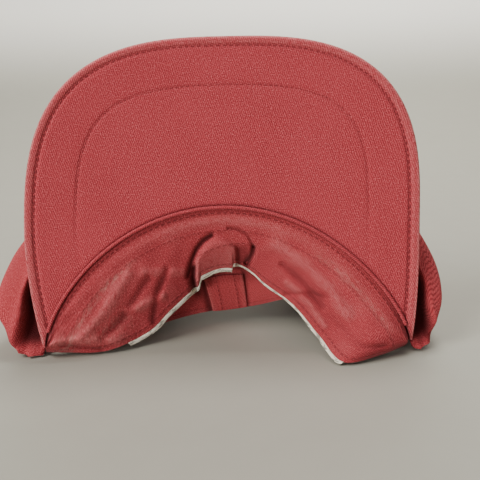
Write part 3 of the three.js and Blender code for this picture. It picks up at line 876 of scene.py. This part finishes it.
# %% Raw interlining edge
def raw_edge():
    keep = (hem_angle > 36) & (hem_angle < 163.5)
    hem = band_hem[keep]
    down = turned_out(hem_angle[keep], 1.05) - turned_out(hem_angle[keep], 1.0)
    down /= np.linalg.norm(down, axis=1, keepdims=True)
    run = np.concatenate([[0], np.cumsum(np.linalg.norm(np.diff(hem, axis=0), axis=1))])
    wide = np.interp(hem[:, 0], [-50, -14, 5, 9, 30, 56], [1.9, 2.2, 2.1, 1.0, 0.9, 1.7])
    frayed = wide + 0.12 * np.sin(run / 2.3) + 0.08 * random.standard_normal(len(run))
    q = np.linspace(-0.35, 1, 9)
    front = hem[None] + down[None] * (q[:, None] * frayed[None])[..., None]
    front = front + 0.25 * BACK - (0.5 * (1 - np.linspace(-1, 1, 9) ** 2))[:, None, None] * BACK
    front[..., 2] = np.maximum(front[..., 2], FLOOR + 0.3)
    return shell("sweatband_edge", front, 1.5, INTERLINING, away=BACK)


edge = raw_edge()
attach(edge, "peak")
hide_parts("sweatband_edge")
print("raw edge:", len(edge.data.vertices), "points")

# %% Folded front panels and their tape
HEM = np.array(  # across, back and up
    [[-46, 19, -4], [-35, 31, -2.5], [-15, 43, -1], [3, 46, 0], [20, 42, 4], [36, 34, 11]], float
)


def facing_point(t, q, depth):
    t, q = np.broadcast_arrays(np.asarray(t, float), np.asarray(q, float))
    top = turned_out(40 + 95 * t, 0.55) + 5.25 * BACK
    hem = through(HEM, t * (len(HEM) - 1))
    return top + (hem - top) * q[..., None] + np.broadcast_to(depth, t.shape)[..., None] * BACK


# the tape's two sides, which lean over to the right as they go down to the hem
TAPE_AT = (lambda q: 0.40 + 0.09 * q, lambda q: 0.59 + 0.11 * q)


def facing():
    t, q = np.meshgrid(np.linspace(0, 1, 150), np.linspace(0, 1, 46))
    left = bump(t, TAPE_AT[0](q) - 0.012, 0.02)
    right = bump(t, TAPE_AT[1](q) + 0.008, 0.012)
    wave = 0.7 * np.sin(22 * t + 2 * q) * q
    front = facing_point(t, q, wave + 1.8 * left + 0.6 * right)
    u, v = flat_lengths(front)
    # painted shade along the tape's two folds, near the top under the band, and in a dark hole left of
    # the tape
    shade = (0.8 * left + 0.6 * right) * smooth(q, 0.3, 0.5) + 0.5 * smooth(q, 0.62, 0.4)
    shade = np.maximum(shade, 0.95 * bump(t, TAPE_AT[0](q) - 0.05, 0.03) * bump(q, 0.6, 0.14))
    wear = np.stack([0.25 * bump(q, 1, 0.04), 0 * q, np.minimum(shade, 0.85)], -1)
    seam = np.stack([v - v[-1:] + 3, u, np.full_like(u, 0.5)], -1)
    return shell("front_facing", front, 0.9, TAPE_TWILL, seam=seam, wear=wear, away=BACK)


def facing_tape():
    middle, q = np.meshgrid(np.linspace(-1, 1, 24), np.linspace(0.45, 1.0, 40))
    t = TAPE_AT[0](q) + (TAPE_AT[1](q) - TAPE_AT[0](q)) * (middle + 1) / 2
    front = facing_point(t, q, -1.0 - 0.5 * (1 - middle**2))
    u, v = flat_lengths(front)
    seam = np.stack([np.abs(u) - 4.6, v, np.full_like(u, 0.7)], -1)
    # painted shade on the upper part of the tape, under the band; its edges are rubbed
    wear = np.stack([0.35 * bump(np.abs(middle), 1, 0.15), 0 * q, 0.45 * smooth(q, 0.62, 0.45)], -1)
    return shell("facing_tape", front, 0.6, TAPE_TWILL, seam=seam, wear=wear, away=BACK)


FOLDED_IN = (
    (facing(), "front_facing", "crown_twill"),
    (facing_tape(), "facing_tape", "tape_twill"),
)
for obj, node, finish in FOLDED_IN:
    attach(obj, "peak")
    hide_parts(node)
    print(node, len(obj.data.vertices), "points")

# %% [markdown]
# ## The crown
#
# Each panel swells a little between its seams and has two rows of stitches along each one. The front and
# side panels are set in place where they lie, and the back panels are attached to the crown.
# Modelling the crown as one dome would be quicker, but then no panel could swell between its seams.

# %% Panel layout
PANELS = {
    "front_left_panel": (-58, 0),
    "front_right_panel": (0, 58),
    "side_left_panel": (-122, -58),
    "side_right_panel": (58, 122),
    "back_left_panel": (-180, -122),
    "back_right_panel": (122, 180),
}
ARCH_HALF, ARCH_TOP = 25, 0.42  # the rear arch: degrees to each side, and the s of its top
ARCH_COLUMN = 0.42  # share of a back panel's columns that lie beside the arch
BACK_START = 122.12  # azimuth of a back panel's first column
SEAM_GAP = 0.12  # degrees left open at each panel seam


def creases(azimuth, s):
    """Slack folds in the crown, strongest low down at the sides."""
    a = np.radians(azimuth)
    slack = 0.4 + 0.6 * np.abs(np.sin(a)) ** 2
    sag = 1.1 * np.sin(5 * a + 9 * s) * np.sin(math.pi * s)
    sag = sag + 0.7 * np.sin(11 * a - 6 * s + 1) * smooth(s, 0, 0.3)
    low = 1.2 * bump(s, 0.2 + 0.04 * np.sin(4 * a), 0.05)
    low = low - 1.0 * bump(s, 0.3 + 0.05 * np.sin(3 * a + 1), 0.05)
    return slack * (sag + low * np.abs(np.sin(a))) * smooth(s, 0, 0.12) * smooth(s, 1, 0.8)


def hollow_at(p):
    """How deep a place lies in the dark fold between the sagging side and the peak's edge."""
    x, y, z = np.abs(p[..., 0]), p[..., 1], p[..., 2]
    wide = np.where(p[..., 0] < 0, 7.0, 9.5) * smooth(z, 42, 12) * (1 + 0.12 * np.sin(z / 3.1))
    beside_edge = smooth(x, 92.5 + wide, 91 + 0.45 * wide) * smooth(z, 1.5, 6)
    return beside_edge * smooth(y, 40, 22) * smooth(wide, 0.3, 3)


def tucked(p):
    """The side's lower front corner, pulled down to the table and pinched in under the peak's tip."""
    x, y, z = p[..., 0], p[..., 1], p[..., 2]
    pull = smooth(np.abs(x), 80, 85) * smooth(y, 24, 8) * smooth(z, 9, -1)
    moved = p.copy()
    moved[..., 2] -= pull * np.maximum(z - FLOOR - 0.8, 0) * 0.95
    moved[..., 0] += np.sign(x) * pull * 3.0
    moved[..., 1] += 10.0 * hollow_at(p)
    curl = bump(np.hypot(np.abs(x) - 94, z - 1.5), 3.2, 1.6) * smooth(y, 30, 14)
    moved[..., 1] -= 2.4 * curl + 2.0 * bump(np.abs(x) + 0.35 * z, 104, 2.6) * smooth(y, 40, 20)
    return moved


# %% Panels
def cloth_patch(name, material, azimuth, s, outer, thickness, seam, wear, puff=None, tuck=False):
    """A piece that follows the crown at a depth inside its outer face."""
    normal = crown_normal(azimuth, s)
    lift = -outer if puff is None else puff - outer
    front = crown_point(azimuth, s) + normal * np.broadcast_to(lift, s.shape)[..., None]
    front = tucked(front) if tuck else front
    front[..., 2] = np.maximum(front[..., 2], FLOOR + 0.05)
    u, v = flat_lengths(front)
    return shell(name, front, thickness, material, seam=seam(u, v), wear=wear, away=-normal)


def panel_grid(low, high):
    i, j = np.meshgrid(np.linspace(0, 1, 91), np.linspace(0, 1, 91))
    azimuth = low + SEAM_GAP + (high - low - 2 * SEAM_GAP) * i
    foot = np.zeros_like(azimuth)
    if abs(low + high) > 180:  # a back panel: its last columns follow the arch over the strap
        sign = 1 if high > 0 else -1
        far = i if sign > 0 else 1 - i
        plain = BACK_START + (180 - ARCH_HALF - BACK_START) * np.minimum(far / ARCH_COLUMN, 1)
        arch = np.clip((far - ARCH_COLUMN) / (1 - ARCH_COLUMN), 0, 1) * math.pi / 2
        over = np.minimum(180 - ARCH_HALF * np.cos(arch), 180 - SEAM_GAP)
        azimuth = sign * np.where(arch > 0, over, plain)
        foot = ARCH_TOP * np.sin(arch)
    top = 1 - 1.6 / meridian(azimuth)[2]
    return azimuth, foot + (top - foot) * j


PANEL_THICK = 0.9


def panel(name):
    low, high = PANELS[name]
    azimuth, s = panel_grid(low, high)
    degree = np.linalg.norm(crown_point(azimuth + 0.5, s) - crown_point(azimuth - 0.5, s), axis=-1)
    edge = np.minimum(azimuth - low, high - azimuth) * degree
    rise = (0.9 * smooth(edge, 0, 9) - 0.35) * smooth(s, 0, 0.06)
    fold = creases(azimuth, s) * smooth(edge, 0, 6)
    touching = 1 - smooth(crown_point(azimuth, s) @ BACK - BEHIND_PEAK, 8, 16)
    puff = rise + fold * (1 - 0.9 * touching) - 0.3 * touching
    deep = hollow_at(crown_point(azimuth, s))
    # painted shade along the seams and deep in the fold beside the peak's edge
    shade = np.maximum(0.25 * bump(edge, 0, 0.7), 0.97 * smooth(deep, 0.15, 0.85))
    wear = np.stack([0.45 * bump(edge, 0.6, 0.9) * (1 - deep), 0 * s, shade], -1)

    def seam(u, v):
        return np.stack([np.abs(edge - 2.6), v, 0.55 * smooth(s, 0.99, 0.95)], -1)

    side = "side" in name
    return cloth_patch(name, CROWN_TWILL, azimuth, s, 0, PANEL_THICK, seam, wear, puff, tuck=side)


for name in PANELS:
    obj = panel(name)
    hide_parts(name)
    if name.startswith("back"):
        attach(obj, "crown")
    else:
        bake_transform(obj)
print("panels:", ", ".join(PANELS))

# %% Seam tapes
TAPE_HALF, TAPE_DEPTH = 6, 1.95  # half its width, and its depth inside the crown's outer face
TAPES = {  # azimuth, and the s at which the tape starts
    "front_tape": (0, 0.04),
    "front_left_tape": (-58, 0.04),
    "front_right_tape": (58, 0.04),
    "back_left_tape": (-122, 0.36),
    "back_right_tape": (122, 0.36),
    "back_tape": (180, ARCH_TOP + 0.05),
}


def seam_tape(name):
    middle, start = TAPES[name]
    i, s = np.meshgrid(np.linspace(-1, 1, 13), np.linspace(start, 0.84, 90))
    degree = np.linalg.norm(crown_point(middle + 2, s) - crown_point(middle - 2, s), axis=-1) / 4
    azimuth = middle + i * np.minimum(TAPE_HALF / degree, 20)
    puff = 0.4 * (1 - i**2)
    wear = np.stack([0.3 * bump(np.abs(i), 1, 0.2), 0.3 + 0 * i, 0 * i], -1)

    def seam(u, v):
        return np.stack([np.abs(np.abs(u) - 4.4), v, np.full_like(u, 0.8)], -1)

    return cloth_patch(name, TAPE_TWILL, azimuth, s, TAPE_DEPTH + puff, 0.6, seam, wear)


for name in TAPES:
    obj = seam_tape(name)
    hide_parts(name)
    if name.startswith("front"):
        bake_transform(obj)
    else:
        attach(obj, "crown")
print("tapes:", ", ".join(TAPES))

# %% [markdown]
# The small things on the crown are the stitched eyelets, each a ring of radial stitches, and the covered
# button over the point where the panels meet. A plain torus and a flattened ball would be near, but the
# thread's bumps and the cloth's small gathers are what the eye takes them by, so both are in the mesh.


# %% Eyelets
def frame_at(azimuth, s):
    normal = crown_normal(azimuth, s)
    side = np.cross([0, 0, 1.0], normal)
    side /= np.linalg.norm(side)
    return crown_point(azimuth, s), side, np.cross(normal, side), normal


def eyelet(name, azimuth, s):
    centre, side, up, normal = frame_at(np.float64(azimuth), np.float64(s))
    around, turn = np.meshgrid(np.linspace(0, TURN, 169)[:-1], np.linspace(0, TURN, 13)[:-1])
    thread = 0.8 + 0.2 * np.abs(np.sin(14 * around))
    radius = 3.1 + 1.15 * np.cos(turn) * (0.9 + 0.1 * thread)
    height = 0.75 + 0.5 * np.sin(turn) * thread
    local = np.stack([radius * np.cos(around), radius * np.sin(around), height], -1)
    points = centre + local @ np.array([side, up, normal])
    rows, columns = around.shape
    k = np.arange(rows * columns).reshape(rows, columns)
    right, above = np.roll(k, -1, 1), np.roll(k, -1, 0)
    faces = np.stack([k, right, np.roll(right, -1, 0), above], -1).reshape(-1, 4)
    cloth = np.stack([around * 3, radius, 0 * radius], -1)
    # painted shade between the thread's bumps; the top of the ring is rubbed
    wear = np.stack([0.3 * (np.sin(turn) > 0.6), 0 * turn, 0.35 * (thread < 0.85)], -1)
    return make_mesh(
        name, points, faces, TAPE_TWILL, cloth=cloth, seam=without_seam(cloth), wear=wear
    )


EYELETS = {
    "eyelet_side_left": (-90, 0.7),
    "eyelet_side_right": (90, 0.7),
    "eyelet_back_left": (-151, 0.7),
    "eyelet_back_right": (151, 0.7),
}
for name, (azimuth, s) in EYELETS.items():
    obj = eyelet(name, azimuth, s)
    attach(obj, "crown")
    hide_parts(name)
print("eyelets:", ", ".join(EYELETS))


# %% Top button
BUTTON = np.array(  # its profile: radius and height
    [
        [0.02, 5.5],
        [2.5, 5.3],
        [4.8, 4.5],
        [6.6, 3.2],
        [7.4, 2.0],
        [7.2, 1.3],
        [4.0, 1.2],
        [0.02, 1.2],
    ]
)


def top_button():
    """A metal cap covered in twill: a dome whose cloth gathers into small pleats under its rim."""
    path = through(BUTTON, np.linspace(0, len(BUTTON) - 1, 60))
    around = np.linspace(0, TURN, 97)[:-1]
    gather = 1 - 0.035 * smooth(path[:, 0], 5, 7.4)[:, None] * np.abs(np.sin(9 * around))[None]
    radius = path[:, :1] * gather
    height = np.broadcast_to(path[:, 1:], radius.shape)
    points = APEX + np.stack([radius * np.cos(around), radius * np.sin(around), height], -1)
    rows, columns = radius.shape
    k = np.arange(rows * columns).reshape(rows, columns)
    nxt = np.roll(k, -1, 1)
    faces = np.stack([k[:-1], k[1:], nxt[1:], nxt[:-1]], -1).reshape(-1, 4).tolist()
    faces += [list(k[0]), list(k[-1, ::-1])]
    wear = np.stack([0.5 * bump(radius, 6.5, 0.8), 0 * radius, 0 * radius], -1)
    return make_mesh(
        "top_button", points, faces, CROWN_TWILL, cloth=points, seam=without_seam(points), wear=wear
    )


button = top_button()
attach(button, "crown")
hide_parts("top_button")
print("button:", len(button.data.vertices), "points")

# %% [markdown]
# ## The back
#
# Behind, the sweatband runs inside the rim from each temple to the closure. The opening over the strap is
# bound with a folded strip, and the strap is two overlapping tabs with hook tape on one and loop tape on
# the other. Bands swept along curves would need fitting to the rim; here each is a patch of the crown's
# own surface, set inwards or outwards by its depth, so it follows the rim by itself.


# %% Rear sweatband and binding
BAND_WIDTH = 34


def height_share(azimuth, height):
    """The s that lies this high above the table, near enough for a band along the rim."""
    return height / (3 * (crown_point(azimuth, 1 / 3)[..., 2] - FLOOR))


def rear_band(name, low, high):
    azimuth, q = np.meshgrid(np.linspace(low, high, 140), np.linspace(0, 1, 40))
    s = 0.012 + q * (height_share(azimuth, BAND_WIDTH) - 0.012)
    puff = 0.3 * np.sin(azimuth / 2.1) * q + 0.35 * np.sin(math.pi * q)
    sweat = 0.8 * bump(q, 0.55, 0.2)
    # an even painted shade over the band inside the crown, with sweat across its middle and wear at its
    # top
    wear = np.stack([0.2 * bump(q, 0.95, 0.08), sweat, 0.1 + 0 * q], -1)

    def seam(u, v):
        top = v[-1:]
        return np.stack([np.minimum(np.abs(v - 3), np.abs(v - top + 3)), u, 0.7 + 0 * u], -1)

    return cloth_patch(name, BAND_TWILL, azimuth, s, 3.0 - puff, BAND_THICK, seam, wear)


def arch_binding():
    angle = math.pi * np.linspace(0.19, 0.81, 160)
    azimuth = 180 + (ARCH_HALF - 1.2) * np.cos(angle)
    s = (ARCH_TOP - 1.2 / 60) * np.sin(angle)
    line = crown_point(azimuth, s) - crown_normal(azimuth, s) * 0.45
    return tube("arch_binding", line, 1.15, BAND_TWILL, pucker=0.14, pitch=2.8)


print("the rear band is", BAND_WIDTH, "mm wide")


# %% Strap
STRAP_HEIGHT = 22


def strap(name, material, low, high, depth, thickness, inset, rounded=0.0, stitched=True):
    """A flat strap along the rim. rounded shortens its corners at the free end."""
    azimuth, q = np.meshgrid(np.linspace(low, high, 120), np.linspace(0, 1, 30))
    share = (azimuth - low) / (high - low)
    pinch = rounded * smooth(share, 0.93, 1.0) ** 2
    q = pinch * 0.5 + q * (1 - pinch)
    top = height_share(azimuth, STRAP_HEIGHT)
    s = 0.02 + inset + q * (top - 2 * inset - 0.02)
    wear = np.stack([0.4 * bump(np.abs(q - 0.5), 0.5, 0.05), 0.15 + 0 * q, 0 * q], -1)

    def seam(u, v):
        edges = np.minimum(np.abs(v - 2.4), np.abs(v - v[-1:] + 2.4))
        return np.stack([edges, u, np.full_like(u, 0.7 if stitched else 0.0)], -1)

    return cloth_patch(name, material, azimuth, s, depth, thickness, seam, wear)


TAB_DEPTH = -1.45  # outside the crown's cloth
PAD_GAP, PAD_THICK, STRAP_THICK = 0.35, 0.5, 1.1
HOOK_DEPTH = TAB_DEPTH + STRAP_THICK + PAD_GAP
LOOP_DEPTH = HOOK_DEPTH + PAD_THICK + PAD_GAP
UNDER_DEPTH = LOOP_DEPTH + PAD_THICK + PAD_GAP
BACK_PIECES = (
    (rear_band("sweatband_left", -153, -100), "sweatband_left", "crown", "band_twill"),
    (rear_band("sweatband_right", 100, 153), "sweatband_right", "crown", "band_twill"),
    (arch_binding(), "arch_binding", "crown", "band_twill"),
    (
        strap("strap_tab", BAND_TWILL, 152, 200, TAB_DEPTH, STRAP_THICK, 0, 0.5),
        "strap_tab", "tab", "band_twill",
    ),
    (
        strap("hook_pad", HOOKS, 181, 199, HOOK_DEPTH, PAD_THICK, 0.02, 0, False),
        "hook_pad", "tab", "hook_and_loop",
    ),
    (
        strap("loop_pad", LOOPS, 181, 202, LOOP_DEPTH, PAD_THICK, 0.02, 0, False),
        "loop_pad", "crown", "hook_and_loop",
    ),
    (
        strap("strap_left", BAND_TWILL, 203.5, 178, UNDER_DEPTH, STRAP_THICK, 0, 0.5),
        "strap_left", "crown", "band_twill",
    ),
)
for obj, node, body, finish in BACK_PIECES:
    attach(obj, body)
    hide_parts(node)
    print(node, "on", body)

# %% CAD pieces that stay
for node, material in (("peak_board", plastic()), ("button_back", steel())):
    mesh = frame["nodes"][node].data
    mesh.materials.clear()
    mesh.materials.append(material)
    print(node, "keeps its CAD shape")

# %% [markdown]
# ## The studio
#
# A plain pale table that curves up into a plain backdrop, one large soft light high on the left in front,
# a smaller one low on the left in front that reaches under the peak, one over the backdrop, and a pale
# sky. A panorama could light the scene instead, but plain lamps can be read and changed one
# by one. The camera looks down on the cap a little, from the front.


# %% Table and backdrop
TABLE_FRONT, CURVE_START, CURVE, WALL, HALF_WIDTH = -2.2, 0.6, 0.7, 1.6, 3.0  # metres


def studio_material():
    material, tree = new_material("studio_paper")
    place = wire(tree, "TexCoord").outputs["Object"]
    grain = noise(tree, place, 60.0, 3.0)
    height = wire(tree, "SeparateXYZ", Vector=place).outputs[2]
    colour = mix_colour(tree, grain, (0.306, 0.294, 0.244), (0.326, 0.314, 0.262))
    colour = mix_colour(tree, ramp(tree, height, 0.05, 0.22), colour, (0.82, 0.79, 0.725))
    finish_material(tree, colour, grain, 0.00002, ramp(tree, height, 0.0, 1.0, 0.55, 0.8))
    return material


def studio():
    path = [(TABLE_FRONT, 0.0), (0.2, 0.0), (CURVE_START, 0.0)]
    for a in np.linspace(0.1, math.pi / 2, 14):
        path.append((CURVE_START + CURVE * math.sin(a), CURVE - CURVE * math.cos(a)))
    path.append((CURVE_START + CURVE, CURVE + WALL))
    points = [(x, y, z) for y, z in path for x in (-HALF_WIDTH, HALF_WIDTH)]
    faces = [(2 * k, 2 * k + 1, 2 * k + 3, 2 * k + 2) for k in range(len(path) - 1)]
    mesh = bpy.data.meshes.new("studio")
    mesh.from_pydata(points, [], faces)
    mesh.polygons.foreach_set("use_smooth", np.ones(len(faces), bool))
    mesh.materials.append(studio_material())
    obj = bpy.data.objects.new("studio", mesh)
    bpy.context.scene.collection.objects.link(obj)
    return obj


studio()
print("the table curves up", CURVE_START, "m behind the cap")


# %% Lights
def area_light(name, place, target, size, power, colour):
    data = bpy.data.lights.new(name, "AREA")
    data.shape, data.size, data.energy, data.color = "DISK", size, power, colour
    obj = bpy.data.objects.new(name, data)
    obj.location = place
    obj.rotation_mode = "QUATERNION"
    obj.rotation_quaternion = (Vector(target) - Vector(place)).to_track_quat("-Z", "Y")
    bpy.context.scene.collection.objects.link(obj)


LIGHTS = (  # name, place, what it points at, size, power, colour
    ("key", (-0.78, -0.55, 0.98), (0, 0, 0.05), 0.7, 17, (1.0, 0.985, 0.96)),
    ("front", (-0.72, -1.15, 0.16), (0, 0, 0.03), 0.4, 10, (1.0, 0.99, 0.97)),
    ("backdrop", (0.3, 0.5, 1.4), (0.1, 1.2, 0.2), 0.8, 30, (1.0, 0.99, 0.95)),
)
for light in LIGHTS:
    area_light(*light)
world = bpy.data.worlds.new("pale_sky")
world.use_nodes = True
sky = world.node_tree.nodes["Background"].inputs
sky["Color"].default_value = (0.9, 0.92, 0.95, 1)
sky["Strength"].default_value = 0.27
bpy.context.scene.world = world
print(len(LIGHTS), "lights")

# %% Camera
ELEVATION, DISTANCE, LENS, ROLL = math.radians(15.5), 0.3668, 55, math.radians(-1.2)
AIM = Vector(TEMPLES) + Vector((0.0085, 0.0294, 0.0430))
camera_data = bpy.data.cameras.new("camera")
camera_data.lens = LENS
camera_data.clip_start, camera_data.clip_end = 0.01, 20
camera = bpy.data.objects.new("camera", camera_data)
toward = Vector((0, math.cos(ELEVATION), -math.sin(ELEVATION)))
camera.rotation_mode = "QUATERNION"
camera.rotation_quaternion = toward.to_track_quat("-Z", "Y") @ Quaternion((0, 0, 1), ROLL)
camera.location = AIM - toward * DISTANCE
bpy.context.scene.collection.objects.link(camera)
bpy.context.scene.camera = camera
print("camera", round(DISTANCE, 2), "m away,", LENS, "mm lens")
